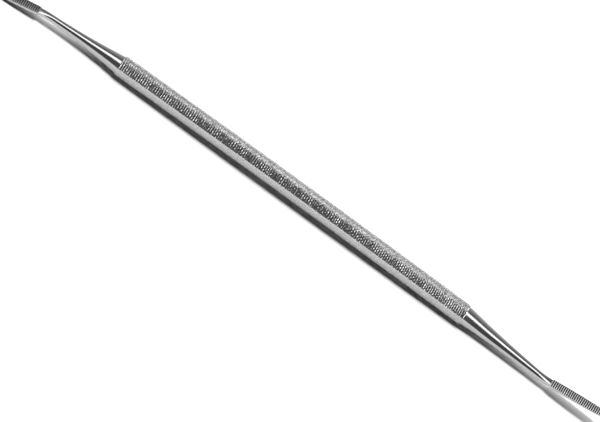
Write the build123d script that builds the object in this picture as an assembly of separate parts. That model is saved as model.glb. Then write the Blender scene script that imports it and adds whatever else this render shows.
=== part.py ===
from build123d import *
import math
import os

# Double-ended nail file of stainless steel: a knurled handle bar with a file end brazed into
# each of its ends.
#
# Frame, in millimetres: +X runs along the handle towards the end whose file blade turns up,
# +Y runs across the handle from one smooth side to the other, and +Z stands on the crowned
# grip face. The origin is the middle of the underside of the whole instrument's box.

# ---------------------------------------------------------------- driving dimensions
HANDLE_LENGTH = 90.6    # chord of the bowed handle
HANDLE_WIDTH = 4.15     # across the two smooth sides
HANDLE_FLAT = 2.45      # height of each smooth side
HANDLE_BOW = 0.45       # how far the middle of the handle stands above its ends

CROWN_RATIO = 0.172     # rise of a crowned face, as a share of its width
FLUSH_RATIO = 0.03      # the same beside the blade, where the neck runs out level with it
SHOULDER_EASE = 3.0     # the first stretch of each neck, which takes up its droop and veer
BEND_LENGTH = 3.5       # the last stretch of each neck, which turns into the blade's direction

TANG_RADIUS = 1.0
TANG_LENGTH = 8.0
BRAZE_GAP = 0.03        # round the tang
SOCKET_RELIEF = 0.2     # beyond the tang's tip

BLADE_LENGTH = 13.2
BLADE_ROOT_WIDTH = 1.9
BLADE_MIDDLE_WIDTH = 2.2
BLADE_TIP_WIDTH = 1.95
BLADE_ROOT_THICKNESS = 1.04
BLADE_TIP_THICKNESS = 0.36
BLADE_CORNER = 0.75     # radius of the tip's corners
BLADE_OVERLAP = 0.4     # length of neck that runs on inside the blade's root

TOOTH_PITCH = 0.47
TOOTH_DEPTH = 0.1
TOOTH_LEAN = 0.7        # place of a tooth's crest, as a share of the pitch
PLAIN_LAND = 0.25       # toothless length at each end of the blade

NECK_STATIONS = 7       # cross-sections along each neck, up to its bend
BEND_STATIONS = 3       # further cross-sections round the bend
CENTRE_STEPS = 40       # short straight steps that a centre line is added up from

# Each file end: sign of X, neck length, headings of the neck and of the blade as degrees of
# droop below the handle's chord and of veer towards -Y, width and flat height at the shoulder
# and beside the blade, and the powers that shape those two tapers (a higher power thins the
# neck sooner).
DOWN_TURNED = {
    "side": -1, "neck_length": 20.6, "neck": (-0.5, 2.7), "blade": (7.25, 5.8),
    "width": (4.0, 1.45), "flat": (2.05, 0.88), "width_power": 2.2, "flat_power": 1.8,
}
UP_TURNED = {
    "side": 1, "neck_length": 23.4, "neck": (0.25, 3.9), "blade": (-8.7, -0.7),
    "width": (4.0, 1.48), "flat": (2.15, 0.94), "width_power": 1.3, "flat_power": 5.0,
}

# ---------------------------------------------------------------- worked-out dimensions
BOW_RADIUS = (HANDLE_LENGTH**2 / 4 + HANDLE_BOW**2) / (2 * HANDLE_BOW)
END_SLOPE = math.degrees(math.asin(HANDLE_LENGTH / 2 / BOW_RADIUS))


def mix(start, end, fraction):
    return start + (end - start) * fraction


def taper(ends, fraction, power):
    """A size that runs from ends[0] to ends[1], fast at first where power is high."""
    return mix(ends[1], ends[0], (1 - fraction) ** power)


def bar_section(width, flat, crown_ratio=CROWN_RATIO):
    """A bar's cross-section: two flat sides of one height, and crowned faces between them."""
    side, top = width / 2, flat / 2
    crest = top + crown_ratio * width
    outline = [
        Line((-side, -top), (-side, top)),
        ThreePointArc((-side, top), (0, crest), (side, top)),
        Line((side, top), (side, -top)),
        ThreePointArc((side, -top), (0, -crest), (-side, -top)),
    ]
    return make_face(outline)


def across(place, side, droop, veer=0):
    """The plane across a bar at a place, facing outwards along side, turned down by droop and
    towards -Y by veer degrees. Its X runs across the bar."""
    down, aside = math.radians(droop), math.radians(veer)
    level = (side * math.cos(aside), -math.sin(aside))
    outwards = (level[0] * math.cos(down), level[1] * math.cos(down), -math.sin(down))
    return Plane(origin=place, x_dir=(-level[1] * side, level[0] * side, 0), z_dir=outwards)


def shoulder(side):
    """The plane where a file end butts against the handle."""
    return across((side * HANDLE_LENGTH / 2, 0, 0), side, END_SLOPE)


def bend_share(end, along):
    """How far round the bend a neck is, from 0 before it to 1 at the blade."""
    return max(0, along - end["neck_length"] + BEND_LENGTH) / BEND_LENGTH


def heading_at(end, along):
    """Droop and veer of a neck's centre line, at a length along it from the shoulder."""
    start, neck, blade = (END_SLOPE, 0), end["neck"], end["blade"]
    if bend_share(end, along) > 0:
        return [mix(a, b, bend_share(end, along)) for a, b in zip(neck, blade)]
    return [mix(a, b, min(1, along / SHOULDER_EASE)) for a, b in zip(start, neck)]


def centre_at(end, along):
    """The point of a neck's centre line at a length along it from the shoulder."""
    place = Vector(end["side"] * HANDLE_LENGTH / 2, 0, 0)
    step = along / CENTRE_STEPS
    for i in range(CENTRE_STEPS):
        place += across((0, 0, 0), end["side"], *heading_at(end, (i + 0.5) * step)).z_dir * step
    return place


def neck(end):
    """The polished taper from the shoulder, round the bend, to the blade's root."""
    straight = end["neck_length"] - BEND_LENGTH
    stations = [straight * i / (NECK_STATIONS - 1) for i in range(NECK_STATIONS)]
    stations += [straight + BEND_LENGTH * (i + 1) / BEND_STATIONS for i in range(BEND_STATIONS)]
    sections = []
    for along in stations:
        fraction = along / end["neck_length"]
        width = taper(end["width"], fraction, end["width_power"])
        flat = taper(end["flat"], fraction, end["flat_power"])
        crown_ratio = mix(CROWN_RATIO, FLUSH_RATIO, bend_share(end, along))
        place = across(centre_at(end, along), end["side"], *heading_at(end, along))
        sections.append(place * bar_section(width, flat, crown_ratio))
    return loft(sections)


def toothed_edge(root_height, tip_height):
    """Points along one toothed face: plain lands at both ends and leaning teeth between."""
    teeth = int((BLADE_LENGTH - 2 * PLAIN_LAND) / TOOTH_PITCH)
    points = [(0, root_height)]
    for i in range(teeth + 1):
        valley = PLAIN_LAND + i * TOOTH_PITCH
        points.append((valley, mix(root_height, tip_height, valley / BLADE_LENGTH) - TOOTH_DEPTH))
        if i < teeth:
            crest = valley + TOOTH_LEAN * TOOTH_PITCH
            points.append((crest, mix(root_height, tip_height, crest / BLADE_LENGTH)))
    points.append((BLADE_LENGTH, tip_height))
    return points


def blade_plan():
    """The blade from above: widest at its middle, with rounded corners at its tip."""
    root, middle, tip = BLADE_ROOT_WIDTH / 2, BLADE_MIDDLE_WIDTH / 2, BLADE_TIP_WIDTH / 2
    plan = make_face([
        ThreePointArc((0, root), (BLADE_LENGTH / 2, middle), (BLADE_LENGTH, tip)),
        Line((BLADE_LENGTH, tip), (BLADE_LENGTH, -tip)),
        ThreePointArc((BLADE_LENGTH, -tip), (BLADE_LENGTH / 2, -middle), (0, -root)),
        Line((0, -root), (0, root)),
    ])
    tip_corners = plan.vertices().group_by(Axis.X)[-1]
    return fillet(tip_corners, BLADE_CORNER)


def blade():
    """A tapering file blade along +X, its root's middle at the origin, toothed on both faces."""
    upper = toothed_edge(BLADE_ROOT_THICKNESS / 2, BLADE_TIP_THICKNESS / 2)
    lower = [(x, -z) for x, z in reversed(upper)]
    profile = Plane.XZ * make_face(Polyline(*upper, *lower, close=True))
    return extrude(profile, amount=BLADE_MIDDLE_WIDTH, both=True) & extrude(
        blade_plan(), amount=BLADE_ROOT_THICKNESS, both=True
    )


def tang(end):
    """The round spigot that fills the handle's socket."""
    return shoulder(end["side"]) * Pos(0, 0, -TANG_LENGTH / 2) * Cylinder(TANG_RADIUS, TANG_LENGTH)


def file_end(end):
    root = across(centre_at(end, end["neck_length"] - BLADE_OVERLAP), end["side"], *end["blade"])
    # A blade's own X runs outwards along the neck and its Z stays on the upper side.
    place = Plane(origin=root.origin, x_dir=root.z_dir, z_dir=root.y_dir * end["side"])
    return neck(end) + place * blade() + tang(end)


def handle():
    """The grip bar: bowed upwards, crowned above and below, with a socket in each end."""
    half = HANDLE_LENGTH / 2
    centre_line = ThreePointArc((-half, 0, 0), (0, 0, HANDLE_BOW), (half, 0, 0))
    start = across((-half, 0, 0), 1, -END_SLOPE)
    bar = sweep(start * bar_section(HANDLE_WIDTH, HANDLE_FLAT), path=centre_line)
    depth = TANG_LENGTH + SOCKET_RELIEF
    for side in (-1, 1):
        socket = Pos(0, 0, -depth / 2) * Cylinder(TANG_RADIUS + BRAZE_GAP, depth)
        bar -= shoulder(side) * socket
    return bar


pieces = {
    "handle": handle(),
    "down_turned_file_end": file_end(DOWN_TURNED),
    "up_turned_file_end": file_end(UP_TURNED),
}

# The tool lies on both ends of the handle's underside. The tip of the blade turned down
# stops just short of the ground.
whole = Compound(children=[piece.solid() for piece in pieces.values()]).bounding_box()
origin = Pos(-whole.center().X, -whole.center().Y, -whole.min.Z)

os.makedirs("parts", exist_ok=True)
for name, piece in pieces.items():
    export_step(origin * piece, f"parts/{name}.step")
print("chord frame moved by", origin.position, "box", whole.size)
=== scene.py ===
import math

import bpy
import numpy as np
from mathutils import Matrix, Vector


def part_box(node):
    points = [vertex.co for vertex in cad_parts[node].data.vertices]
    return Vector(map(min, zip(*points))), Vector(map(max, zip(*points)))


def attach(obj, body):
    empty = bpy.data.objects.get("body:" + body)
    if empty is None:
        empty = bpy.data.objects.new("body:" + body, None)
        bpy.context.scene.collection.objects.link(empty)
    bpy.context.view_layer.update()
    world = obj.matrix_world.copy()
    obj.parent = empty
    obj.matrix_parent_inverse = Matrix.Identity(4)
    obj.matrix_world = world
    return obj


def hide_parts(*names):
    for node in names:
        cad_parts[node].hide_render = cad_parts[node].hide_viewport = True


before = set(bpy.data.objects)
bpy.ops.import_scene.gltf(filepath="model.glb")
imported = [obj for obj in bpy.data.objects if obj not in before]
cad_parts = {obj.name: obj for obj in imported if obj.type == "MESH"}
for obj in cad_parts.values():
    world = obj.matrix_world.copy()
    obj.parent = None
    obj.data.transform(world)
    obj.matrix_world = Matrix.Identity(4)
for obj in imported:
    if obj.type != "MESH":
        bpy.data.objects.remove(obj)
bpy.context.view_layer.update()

# Shapes are worked out in millimetres in the handle's chord frame, as the part is: the origin
# is the middle of the straight line between the handle's two ends, X runs along it and Z up
# through the bowed middle. chord_to_frame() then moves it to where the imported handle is.
MM = 0.001

# ---------------------------------------------------------------- the tool's dimensions
HANDLE_LENGTH = 90.6    # chord of the bowed handle
HANDLE_WIDTH = 4.15     # across the two smooth sides
HANDLE_FLAT = 2.45      # height of each smooth side
HANDLE_BOW = 0.45       # how far the middle of the handle stands above its ends
CROWN_RATIO = 0.172     # rise of a crowned face, as a share of its width
FLUSH_RATIO = 0.03      # the same beside the blade and on it
SHOULDER_EASE = 3.0     # the first stretch of each neck, which takes up its droop and veer
BEND_LENGTH = 3.5       # the last stretch of each neck, which turns into the blade's direction

TANG_RADIUS = 1.0
TANG_LENGTH = 8.0
BRAZE_GAP = 0.03        # round the tang
SOCKET_RELIEF = 0.2     # beyond the tang's tip

BLADE_LENGTH = 13.2
BLADE_ROOT_WIDTH = 1.9
BLADE_MIDDLE_WIDTH = 2.2
BLADE_TIP_WIDTH = 1.95
BLADE_ROOT_THICKNESS = 1.04
BLADE_TIP_THICKNESS = 0.36
BLADE_CORNER = 0.75     # radius of the tip's corners
BLADE_OVERLAP = 0.4     # length of neck that runs on inside the blade's root
TOOTH_PITCH = 0.47
TOOTH_DEPTH = 0.1
TOOTH_LEAN = 0.7        # place of a tooth's crest, as a share of the pitch
PLAIN_LAND = 0.25       # toothless length at each end of the blade
CENTRE_STEPS = 40       # short straight steps that a centre line is added up from

# Each file end: sign of X, neck length, headings of the neck and of the blade as degrees of
# droop below the handle's chord and of veer towards -Y, width and flat height at the shoulder
# and beside the blade, and the powers that shape those two tapers.
DOWN_TURNED = {
    "name": "down_turned_file", "node": "down_turned_file_end",
    "side": -1, "neck_length": 20.6, "neck": (-0.5, 2.7), "blade": (7.25, 5.8),
    "width": (4.0, 1.45), "flat": (2.05, 0.88), "width_power": 2.2, "flat_power": 1.8,
}
UP_TURNED = {
    "name": "up_turned_file", "node": "up_turned_file_end",
    "side": 1, "neck_length": 23.4, "neck": (0.25, 3.9), "blade": (-8.7, -0.7),
    "width": (4.0, 1.48), "flat": (2.15, 0.94), "width_power": 1.3, "flat_power": 5.0,
}

SOCKET_RADIUS = TANG_RADIUS + BRAZE_GAP
SOCKET_DEPTH = TANG_LENGTH + SOCKET_RELIEF
BOW_RADIUS = (HANDLE_LENGTH**2 / 4 + HANDLE_BOW**2) / (2 * HANDLE_BOW)
END_SLOPE = math.asin(HANDLE_LENGTH / 2 / BOW_RADIUS)

# ---------------------------------------------------------------- surface detail
CROWN_FACES = 22        # across each crowned face
CORNER_FACES = 3        # round each softened edge
SIDE_FACES = 4          # down each side
GRIP_STEP = 0.065       # along the handle
NECK_STEP = 0.25        # along the necks
TOOTH_FACES = 8         # along each file tooth
EDGE_EASE = 0.035       # softening of a neck's edges, as a share of its width
GRIP_EASE = 0.04        # softening of the handle's edges
BLADE_EASE = 0.06       # softening of the blades' edges
END_CHAMFER = 0.05      # on the rims of the handle
SHARP_ANGLE = math.radians(48)  # edges turning more than this are shaded as sharp

# The grip is cut three times. Two sets of grooves run nearly straight across it, one fading
# out along the handle as the other grows, and a third, slanted set grows too. Depths are given
# at the left and right ends, and a lean is in degrees from straight across.
KNURLS = (
    {"pitch": 0.534, "lean": 3.0, "depth": (0.12, 0.05), "seed": 3},
    {"pitch": 0.491, "lean": 6.0, "depth": (0.05, 0.12), "seed": 8},
    {"pitch": 0.86, "lean": -50.0, "depth": (0.05, 0.12), "seed": 5},
)
KNURL_CREST = 0.4       # width of the flat left between two grooves, as a share of the pitch
KNURL_FALL = 0.15       # width of a groove's steep wall, as a share of the pitch
KNURL_WANDER = 0.12     # how far a groove strays from its place, as a share of the pitch
KNURL_UNEVEN = 0.25     # how much shallower the shallowest grooves are, as a share of the depth
KNURL_RUN_OUT = (0.25, 0.6)     # length over which the grooves start at the left and right rims
KNURL_SPARE = 10        # grooves drawn beyond each end, as a lean brings them onto the grip
KNURL_DEEPEST = max(max(knurl["depth"]) for knurl in KNURLS)


def mix(start, end, fraction):
    return start + (end - start) * fraction


# ---------------------------------------------------------------- cross-sections
def bar_outline(width, flat, crown_ratio, ease):
    """Points (y, z) round a bar: over the crown towards +Y, down, back underneath and up."""
    half, top = width / 2, flat / 2
    rise = crown_ratio * width
    radius = (half**2 + rise**2) / (2 * rise)
    reach = math.asin(half / radius) - ease / radius
    angles = np.linspace(-reach, reach, CROWN_FACES + 1)
    crown = np.stack([radius * np.sin(angles), top + rise - radius + radius * np.cos(angles)], 1)
    corner = np.array([half, top])
    side_top = np.array([half, top - ease])
    t = np.linspace(0, 1, CORNER_FACES + 1)[1:-1, None]
    softened = (1 - t) ** 2 * crown[-1] + 2 * t * (1 - t) * corner + t**2 * side_top
    side = np.linspace(side_top, side_top * (1, -1), SIDE_FACES + 1)
    over = np.concatenate([crown, softened, side, softened[::-1] * (1, -1)])
    return np.concatenate([over, -over])


def round_outline(radius, like):
    """Points on a circle, each in the direction of the matching point of another outline."""
    return like / np.linalg.norm(like, axis=1, keepdims=True) * radius


def crown_share():
    """For each point of an outline, 1 on a crown, falling to 0 round the softened edges."""
    fade = np.linspace(1, 0, CORNER_FACES + 1)[1:-1]
    over = np.concatenate([np.ones(CROWN_FACES + 1), fade, np.zeros(SIDE_FACES + 1), fade[::-1]])
    return np.concatenate([over, over])


def crown_faces():
    """For each face round an outline, whether it lies on a crown."""
    edge_faces = 2 * CORNER_FACES + SIDE_FACES
    over = np.concatenate([np.ones(CROWN_FACES, bool), np.zeros(edge_faces, bool)])
    return np.concatenate([over, over])


def heading(side, droop, veer=0.0):
    """Unit vectors out along a bar, across it and up from it, at angles of droop and veer."""
    level = np.array([side * math.cos(veer), -math.sin(veer), 0])
    outwards = level * math.cos(droop) - np.array([0, 0, math.sin(droop)])
    upwards = level * math.sin(droop) + np.array([0, 0, math.cos(droop)])
    across = np.array([-level[1] * side, level[0] * side, 0])
    return outwards, across, upwards


def ring(outline, place, side, droop, veer=0.0):
    """An outline set across a bar at a place."""
    _, across, upwards = heading(side, droop, veer)
    return place + outline[:, :1] * across + outline[:, 1:] * upwards


# ---------------------------------------------------------------- meshes
def smooth_steps(values):
    return values * values * (3 - 2 * values)


def tube_mesh(name, rings, groove, face_slots, materials, flip):
    """A closed mesh through rings of points, with a fan of triangles over each end."""
    rings = np.asarray(rings)
    count, columns = rings.shape[:2]
    ends = [rings[0].mean(0), rings[-1].mean(0)]
    points = np.concatenate([rings.reshape(-1, 3), ends])
    i, j = np.meshgrid(np.arange(count - 1), np.arange(columns), indexing="ij")
    here, there = i * columns, (i + 1) * columns
    onwards = (j + 1) % columns
    quads = np.stack([here + j, here + onwards, there + onwards, there + j], -1).reshape(-1, 4)
    start, end = count * columns, count * columns + 1
    last = (count - 1) * columns
    around = np.arange(columns)
    onwards = (around + 1) % columns
    first_fan = np.stack([np.full(columns, start), onwards, around], 1)
    last_fan = np.stack([np.full(columns, end), last + around, last + onwards], 1)
    if flip:
        quads, first_fan, last_fan = quads[:, ::-1], first_fan[:, ::-1], last_fan[:, ::-1]
    mesh = bpy.data.meshes.new(name)
    mesh.from_pydata(points.tolist(), [], quads.tolist() + first_fan.tolist() + last_fan.tolist())
    slots = np.concatenate([np.asarray(face_slots).ravel(), np.zeros(2 * columns, int)])
    for material in materials:
        mesh.materials.append(material)
    mesh.polygons.foreach_set("material_index", slots.astype(np.int32))
    mesh.polygons.foreach_set("use_smooth", np.ones(len(mesh.polygons), bool))
    depth = mesh.attributes.new("groove", "FLOAT", "POINT")
    depth.data.foreach_set("value", np.append(np.asarray(groove).ravel(), [0, 0]).astype(np.float32))
    mesh.update()
    mesh.set_sharp_from_angle(angle=SHARP_ANGLE)
    piece = bpy.data.objects.new(name, mesh)
    bpy.context.scene.collection.objects.link(piece)
    return piece


# ---------------------------------------------------------------- handle
def knurl_cut(knurl, along, across, total):
    """Depth of one set of grooves at points along and across a crowned face."""
    draw = np.random.default_rng(knurl["seed"])
    lines = int(total / knurl["pitch"]) + 2 * KNURL_SPARE
    stray = draw.uniform(-KNURL_WANDER, KNURL_WANDER, lines)
    strength = draw.uniform(1 - KNURL_UNEVEN, 1, lines)
    slant = across * math.tan(math.radians(knurl["lean"]))
    phase = (along + slant) / knurl["pitch"] + KNURL_SPARE
    phase = phase + np.interp(phase, np.arange(lines), stray)
    depth = mix(*knurl["depth"], along / total) * np.interp(phase, np.arange(lines), strength)
    places = (0, KNURL_CREST, KNURL_CREST + KNURL_FALL, 1)
    return depth * np.interp(phase % 1, places, (0, 0, 1, 0))


def knurl_depth(along, across, total):
    """How far the grip's surface lies below its crests, where the sets of grooves cross."""
    cuts = [knurl_cut(knurl, along, across, total) for knurl in KNURLS]
    left = np.clip(along / KNURL_RUN_OUT[0], 0, 1)
    right = np.clip((total - along) / KNURL_RUN_OUT[1], 0, 1)
    return np.max(cuts, axis=0) * smooth_steps(left) * smooth_steps(right)


def handle_piece(materials):
    """The grip bar, knurled on both crowned faces, with a socket in each end."""
    total = 2 * BOW_RADIUS * END_SLOPE
    outline = bar_outline(HANDLE_WIDTH, HANDLE_FLAT, CROWN_RATIO, GRIP_EASE)
    share = crown_share()
    above = np.sign(outline[:, 1])
    rim = outline * (1 - 2 * END_CHAMFER / HANDLE_WIDTH)
    hole = round_outline(SOCKET_RADIUS, outline)
    rings, groove, slots = [], [], []
    on_crown = crown_faces()

    def add(shape, slope, inwards, cut, knurled):
        """One more ring at a slope of the bow, moved inwards along the bar from there."""
        x = BOW_RADIUS * math.sin(slope) - math.copysign(inwards, slope) * math.cos(slope)
        z = HANDLE_BOW - BOW_RADIUS * (1 - math.cos(slope)) + inwards * math.sin(abs(slope))
        rings.append(ring(shape, np.array([x, 0, z]), 1, slope))
        groove.append(cut)
        slots.append(np.where(on_crown & knurled, 0, 1))

    none = np.zeros(len(outline))
    add(hole, -END_SLOPE, SOCKET_DEPTH, none, False)
    add(hole, -END_SLOPE, 0, none, False)
    add(rim, -END_SLOPE, 0, none, False)
    for along in np.arange(END_CHAMFER, total - END_CHAMFER, GRIP_STEP):
        cut = knurl_depth(along, outline[:, 0], total) * share
        shape = outline - np.stack([none, above * cut], 1)
        add(shape, -END_SLOPE + along / BOW_RADIUS, 0, cut / KNURL_DEEPEST, True)
    add(rim, END_SLOPE, 0, none, False)
    add(hole, END_SLOPE, 0, none, False)
    add(hole, END_SLOPE, SOCKET_DEPTH, none, False)
    return tube_mesh("knurled_handle", rings, groove, slots[:-1], materials, flip=False)


# ---------------------------------------------------------------- file ends
def taper(ends, fraction, power):
    return mix(ends[1], ends[0], (1 - fraction) ** power)


def bend_share(end, along):
    return max(0, along - end["neck_length"] + BEND_LENGTH) / BEND_LENGTH


def heading_at(end, along):
    """Droop and veer of a neck's centre line, at a length along it from the shoulder."""
    start = np.array([END_SLOPE, 0])
    neck, blade = np.radians(end["neck"]), np.radians(end["blade"])
    if bend_share(end, along) > 0:
        return mix(neck, blade, bend_share(end, along))
    return mix(start, neck, min(1, along / SHOULDER_EASE))


def centre_at(end, along):
    place = np.array([end["side"] * HANDLE_LENGTH / 2, 0, 0])
    step = along / CENTRE_STEPS
    for i in range(CENTRE_STEPS):
        place = place + heading(end["side"], *heading_at(end, (i + 0.5) * step))[0] * step
    return place


def neck_outline(end, along):
    fraction = along / end["neck_length"]
    width = taper(end["width"], fraction, end["width_power"])
    flat = taper(end["flat"], fraction, end["flat_power"])
    crown_ratio = mix(CROWN_RATIO, FLUSH_RATIO, bend_share(end, along))
    return bar_outline(width, flat, crown_ratio, EDGE_EASE * width)


def blade_width(along):
    """Width of the leaf-shaped blade: its sides are arcs, and its tip's corners are rounded."""
    past_middle = along / BLADE_LENGTH * 2 - 1
    tip = BLADE_ROOT_WIDTH if past_middle < 0 else BLADE_TIP_WIDTH
    width = mix(BLADE_MIDDLE_WIDTH, tip, past_middle**2)
    into_corner = along - (BLADE_LENGTH - BLADE_CORNER)
    if into_corner > 0:
        width -= 2 * (BLADE_CORNER - math.sqrt(max(0, BLADE_CORNER**2 - into_corner**2)))
    return width


def tooth_cut(along):
    """Depth below the crests along the toothed faces, and 0 on the plain lands."""
    teeth = int((BLADE_LENGTH - 2 * PLAIN_LAND) / TOOTH_PITCH)
    into = (along - PLAIN_LAND) / TOOTH_PITCH
    if into < 0 or into > teeth:
        return 0
    part = into % 1
    rising = part / TOOTH_LEAN
    falling = (1 - part) / (1 - TOOTH_LEAN)
    return TOOTH_DEPTH * (1 - min(rising, falling))


def file_end_piece(end, materials):
    """Tang, polished neck and toothed blade in one piece of steel."""
    share = crown_share()
    on_crown = crown_faces()
    none = np.zeros(len(share))
    shoulder = neck_outline(end, 0)
    spigot = round_outline(TANG_RADIUS, shoulder)
    side, rings, groove, slots = end["side"], [], [], []

    def add(shape, place, angles, cut, slot):
        rings.append(ring(shape, place, side, *angles))
        groove.append(cut)
        slots.append(np.where(on_crown, slot, 1))

    start = centre_at(end, 0)
    shoulder_angles = (END_SLOPE, 0)
    add(spigot, start - heading(side, END_SLOPE)[0] * TANG_LENGTH, shoulder_angles, none, 0)
    add(spigot, start, shoulder_angles, none, 0)
    stations = np.append(np.arange(0, end["neck_length"], NECK_STEP), end["neck_length"])
    for along in stations:
        add(neck_outline(end, along), centre_at(end, along), heading_at(end, along), none, 0)
    blade_angles = np.radians(end["blade"])
    blade_out = heading(side, *blade_angles)[0]
    # The blade's root lies a little inside the neck's end, so its hidden first stretch is left out.
    root = centre_at(end, end["neck_length"] - BLADE_OVERLAP)
    for along in np.arange(BLADE_OVERLAP, BLADE_LENGTH, TOOTH_PITCH / TOOTH_FACES):
        cut = tooth_cut(along)
        thickness = mix(BLADE_ROOT_THICKNESS, BLADE_TIP_THICKNESS, along / BLADE_LENGTH)
        width = blade_width(along)
        flat = thickness - 2 * FLUSH_RATIO * width
        shape = bar_outline(width, flat, FLUSH_RATIO, BLADE_EASE)
        shape = shape - np.stack([none, np.sign(shape[:, 1]) * cut * share], 1)
        add(shape, root + blade_out * along, blade_angles, cut / TOOTH_DEPTH * share, 2)
    return tube_mesh(end["name"], rings, groove, slots[:-1], materials, flip=side < 0)


# ---------------------------------------------------------------- materials
NOISE_DETAIL = 3.0      # octaves


def set_stops(node, stops):
    """Fills a colour ramp node with greys, as (place, grey) stops."""
    elements = node.color_ramp.elements
    while len(elements) < len(stops):
        elements.new(0.5)
    for element, (place, grey) in zip(elements, stops):
        element.position = place
        element.color = (grey, grey, grey, 1)


class Steel:
    """A metal material being put together from nodes."""

    def __init__(self, name, roughness=0.5):
        self.material = bpy.data.materials.new(name)
        self.material.use_nodes = True
        self.tree = self.material.node_tree
        self.shader = self.tree.nodes["Principled BSDF"]
        self.shader.inputs["Metallic"].default_value = 1.0
        self.shader.inputs["Roughness"].default_value = roughness
        self.place = self.node("ShaderNodeTexCoord").outputs["Object"]

    def node(self, kind, **settings):
        made = self.tree.nodes.new(kind)
        for key, value in settings.items():
            setattr(made, key, value)
        return made

    def join(self, source, target):
        self.tree.links.new(source, target)

    def noise(self, grain, stretch=(1, 1, 1)):
        """Noise with marks about grain millimetres across, longer by stretch along each axis."""
        spread = self.node("ShaderNodeMapping")
        spread.inputs["Scale"].default_value = [1 / (grain * MM * s) for s in stretch]
        self.join(self.place, spread.inputs["Vector"])
        texture = self.node("ShaderNodeTexNoise")
        texture.inputs["Scale"].default_value = 1.0
        texture.inputs["Detail"].default_value = NOISE_DETAIL
        self.join(spread.outputs["Vector"], texture.inputs["Vector"])
        return texture.outputs["Fac"]

    def groove(self):
        """The mesh's groove depth: 0 on the crests, 1 where the cut is deepest."""
        return self.node("ShaderNodeAttribute", attribute_name="groove").outputs["Fac"]

    def ramp(self, source, stops):
        made = self.node("ShaderNodeValToRGB")
        set_stops(made, stops)
        self.join(source, made.inputs["Fac"])
        return made.outputs["Color"]

    def times(self, first, second):
        made = self.node("ShaderNodeVectorMath", operation="MULTIPLY")
        self.join(first, made.inputs[0])
        self.join(second, made.inputs[1])
        return made.outputs["Vector"]

    def colour(self, source):
        self.join(source, self.shader.inputs["Base Color"])

    def rough(self, source):
        self.join(source, self.shader.inputs["Roughness"])

    def bump(self, height, depth):
        """Raises the surface by depth millimetres at a height of 1."""
        made = self.node("ShaderNodeBump")
        made.inputs["Distance"].default_value = depth * MM
        self.join(height, made.inputs["Height"])
        self.join(made.outputs["Normal"], self.shader.inputs["Normal"])


def knurled_steel():
    """Cut grip: crests left bright, grooves darkened with painted shade and made rougher, over a random
    mottle.
    """
    steel = Steel("knurled_steel")
    wear = steel.ramp(steel.noise(0.5), [(0.35, 0.42), (0.6, 0.8)])
    # painted shade: the colour falls from full on the crests to a fifth at the bottom of the deepest
    # grooves
    cut = steel.ramp(steel.groove(), [(0.0, 1.0), (0.5, 0.85), (0.95, 0.2)])
    steel.colour(steel.times(wear, cut))
    steel.rough(steel.ramp(steel.groove(), [(0.0, 0.2), (0.8, 0.35)]))
    steel.bump(steel.noise(0.45), 0.07)
    return steel.material


def satin_steel():
    """Flat sides of the handle: ground, with a fine even speckle."""
    steel = Steel("satin_steel")
    steel.colour(steel.ramp(steel.noise(0.3), [(0.35, 0.4), (0.65, 0.68)]))
    steel.rough(steel.ramp(steel.noise(0.4), [(0.3, 0.45), (0.7, 0.6)]))
    steel.bump(steel.noise(0.4), 0.02)
    return steel.material


def smoothed_steel():
    """Flat sides of the necks and blades: smooth, drawn out along the bar."""
    steel = Steel("smoothed_steel", roughness=0.3)
    steel.colour(steel.ramp(steel.noise(0.05, (60, 1, 1)), [(0.3, 0.46), (0.7, 0.52)]))
    return steel.material


def polished_steel():
    """Necks: bright, with faint polishing lines along them."""
    steel = Steel("polished_steel")
    lines = steel.noise(0.05, (50, 1, 1))
    steel.colour(steel.ramp(steel.noise(1.5, (3, 1, 1)), [(0.3, 0.57), (0.7, 0.62)]))
    steel.rough(steel.ramp(lines, [(0.3, 0.1), (0.7, 0.18)]))
    steel.bump(lines, 0.0008)
    return steel.material


def toothed_steel():
    """Cut file faces: tooth crests left bright, gullets darkened almost to black with painted shade and
    made rougher, over a random mottle.
    """
    steel = Steel("toothed_steel")
    wear = steel.ramp(steel.noise(0.5), [(0.3, 0.85), (0.7, 1.0)])
    # painted shade: the colour falls from 0.9 on the crests to almost black from halfway down into each
    # gullet
    cut = steel.ramp(steel.groove(), [(0.0, 0.9), (0.25, 0.6), (0.5, 0.03)])
    steel.colour(steel.times(wear, cut))
    steel.rough(steel.ramp(steel.groove(), [(0.0, 0.2), (0.8, 0.4)]))
    steel.bump(steel.noise(0.1), 0.006)
    return steel.material


# ---------------------------------------------------------------- placing
def chord_to_frame(piece):
    """The matrix from the chord frame, in millimetres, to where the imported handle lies."""
    corners = np.array([vertex.co for vertex in piece.data.vertices]) * MM
    middle = Vector((corners.min(0) + corners.max(0)) / 2)
    low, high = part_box("handle")
    return Matrix.Translation((low + high) / 2 - middle) @ Matrix.Scale(MM, 4)


knurled, satin = knurled_steel(), satin_steel()
polished, smoothed, toothed = polished_steel(), smoothed_steel(), toothed_steel()

handle = handle_piece([knurled, satin])
to_frame = chord_to_frame(handle)
pieces = {"handle": (handle, "grip_steel")}
for end in (DOWN_TURNED, UP_TURNED):
    pieces[end["node"]] = (file_end_piece(end, [polished, smoothed, toothed]), "file_steel")
for node, (piece, slot) in pieces.items():
    piece.data.transform(to_frame)
    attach(piece, "root")
    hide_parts(node)


# ---------------------------------------------------------------- floor
FLOOR_REACH = 6.0       # metres to each side


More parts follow.
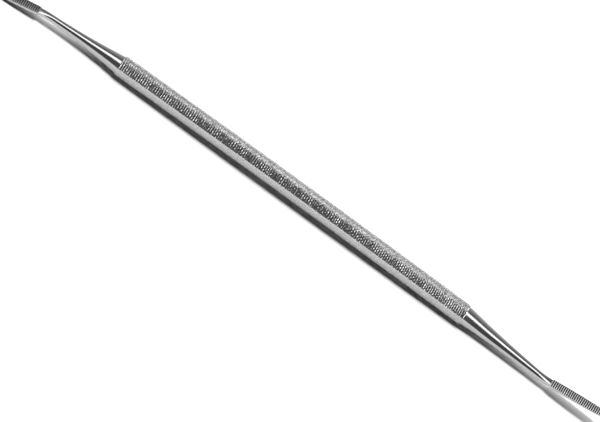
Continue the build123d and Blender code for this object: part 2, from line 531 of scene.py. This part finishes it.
def pale_floor():
    mesh = bpy.data.meshes.new("floor")
    signs = ((-1, -1), (1, -1), (1, 1), (-1, 1))
    corners = [(x * FLOOR_REACH, y * FLOOR_REACH, 0) for x, y in signs]
    mesh.from_pydata(corners, [], [(0, 1, 2, 3)])
    floor = bpy.data.objects.new("floor", mesh)
    bpy.context.scene.collection.objects.link(floor)
    material = bpy.data.materials.new("pale_floor")
    material.use_nodes = True
    shader = material.node_tree.nodes["Principled BSDF"]
    shader.inputs["Base Color"].default_value = (0.8, 0.8, 0.8, 1)
    shader.inputs["Roughness"].default_value = 0.9
    shader.inputs["Specular IOR Level"].default_value = 0.1
    mesh.materials.append(material)


pale_floor()


# ---------------------------------------------------------------- light
# The metal and the floor are lit apart: the softboxes and the room are what the metal
# reflects, and two lights that it doesn't reflect whiten the floor.
SOFTBOX_DISTANCE = 0.8
# Greys of the room from the horizon (0) to straight overhead (1).
ROOM_GREYS = [
    (0.0, 0.6), (0.17, 0.52), (0.34, 0.42), (0.5, 0.3), (0.65, 0.2), (0.8, 0.1), (1.0, 0.07),
]


def aimed(location):
    """A matrix at location whose -Z looks at the tool."""
    location = Vector(location)
    turn = (-location).to_track_quat("-Z", "Y")
    return Matrix.Translation(location) @ turn.to_matrix().to_4x4()


def from_zenith(angle, distance):
    """A point at a distance, tilted from straight overhead towards +Y by angle degrees."""
    angle = math.radians(angle)
    return Vector((0, math.sin(angle), math.cos(angle))) * distance


def softbox(name, place, length, width, brightness, shown_in):
    """A panel, length along X, reflected only by the given pieces."""
    light = bpy.data.lights.new(name, "AREA")
    light.shape = "RECTANGLE"
    light.size = length
    light.size_y = width
    light.energy = brightness * math.pi * length * width
    panel = bpy.data.objects.new(name, light)
    bpy.context.scene.collection.objects.link(panel)
    panel.matrix_world = aimed(place)
    panel.visible_camera = False
    panel.visible_diffuse = False
    lit = bpy.data.collections.new(name)
    for piece in shown_in:
        lit.objects.link(piece)
    panel.light_linking.receiver_collection = lit


def floor_light(name, angle, energy, softness):
    """A light that only the floor shows: it whitens it and casts the tool's shadow there."""
    light = bpy.data.lights.new(name, "SUN")
    light.energy = energy
    light.angle = math.radians(softness)
    lamp = bpy.data.objects.new(name, light)
    bpy.context.scene.collection.objects.link(lamp)
    lamp.matrix_world = aimed(from_zenith(angle, 1))
    lamp.visible_glossy = False


def surroundings():
    """A dark room that brightens towards the horizon. Seen directly, it is plain and pale."""
    world = bpy.data.worlds.new("studio")
    bpy.context.scene.world = world
    world.use_nodes = True
    tree = world.node_tree
    room = tree.nodes["Background"]
    height = tree.nodes.new("ShaderNodeSeparateXYZ")
    place = tree.nodes.new("ShaderNodeTexCoord")
    ramp = tree.nodes.new("ShaderNodeValToRGB")
    tree.links.new(place.outputs["Generated"], height.inputs["Vector"])
    tree.links.new(height.outputs["Z"], ramp.inputs["Fac"])
    set_stops(ramp, ROOM_GREYS)
    tree.links.new(ramp.outputs["Color"], room.inputs["Color"])
    pale = tree.nodes.new("ShaderNodeBackground")
    path = tree.nodes.new("ShaderNodeLightPath")
    choice = tree.nodes.new("ShaderNodeMixShader")
    tree.links.new(path.outputs["Is Camera Ray"], choice.inputs["Fac"])
    tree.links.new(room.outputs["Background"], choice.inputs[1])
    tree.links.new(pale.outputs["Background"], choice.inputs[2])
    tree.links.new(choice.outputs["Shader"], tree.nodes["World Output"].inputs["Surface"])
    world.cycles_visibility.diffuse = False


surroundings()
grip = [handle]
left_file = [pieces[DOWN_TURNED["node"]][0]]
right_file = [pieces[UP_TURNED["node"]][0]]
files = left_file + right_file
overhead = from_zenith(16, SOFTBOX_DISTANCE)
behind = from_zenith(45, SOFTBOX_DISTANCE)
softbox("file_softbox", overhead, length=0.9, width=0.3, brightness=1.8, shown_in=files)
softbox("left_softbox", (-0.5, 0.25, 0.4), length=0.4, width=0.4, brightness=1.6, shown_in=left_file)
softbox("right_softbox", (-0.5, 0.46, 0.39), length=0.5, width=0.5, brightness=0.8, shown_in=right_file)
softbox("grip_softbox", behind, length=0.7, width=0.28, brightness=1.6, shown_in=grip)
softbox("end_softbox", (0.5, 0.05, 0.4), length=0.5, width=0.4, brightness=4.0, shown_in=grip + files)
floor_light("key", angle=14, energy=3.6, softness=14)
floor_light("fill", angle=42, energy=2.6, softness=55)


# ---------------------------------------------------------------- camera
CAMERA_DISTANCE = 1000.0    # millimetres from the aim point
CAMERA_ELEVATION = math.radians(54.19)
CAMERA_ROLL = math.radians(35.98)
CAMERA_LENS = 281.9         # millimetres, a long lens, so the view is nearly parallel
AIM = (1.572, -4.479)       # millimetres from the chord's middle, right and up in the view


def studio_camera():
    up = Vector((0, math.sin(CAMERA_ELEVATION), math.cos(CAMERA_ELEVATION)))
    back = Vector((0, -math.cos(CAMERA_ELEVATION), math.sin(CAMERA_ELEVATION)))
    level = Matrix((Vector((1, 0, 0)), up, back)).transposed()
    turned = (level @ Matrix.Rotation(CAMERA_ROLL, 3, "Z")).to_4x4()
    aim = turned @ Vector((*AIM, CAMERA_DISTANCE))
    data = bpy.data.cameras.new("studio_camera")
    data.lens = CAMERA_LENS
    camera = bpy.data.objects.new("studio_camera", data)
    bpy.context.scene.collection.objects.link(camera)
    place = to_frame @ Matrix.Translation(aim) @ turned
    camera.matrix_world = place.normalized()
    bpy.context.scene.camera = camera


studio_camera()
bpy.context.scene.view_settings.view_transform = "Standard"
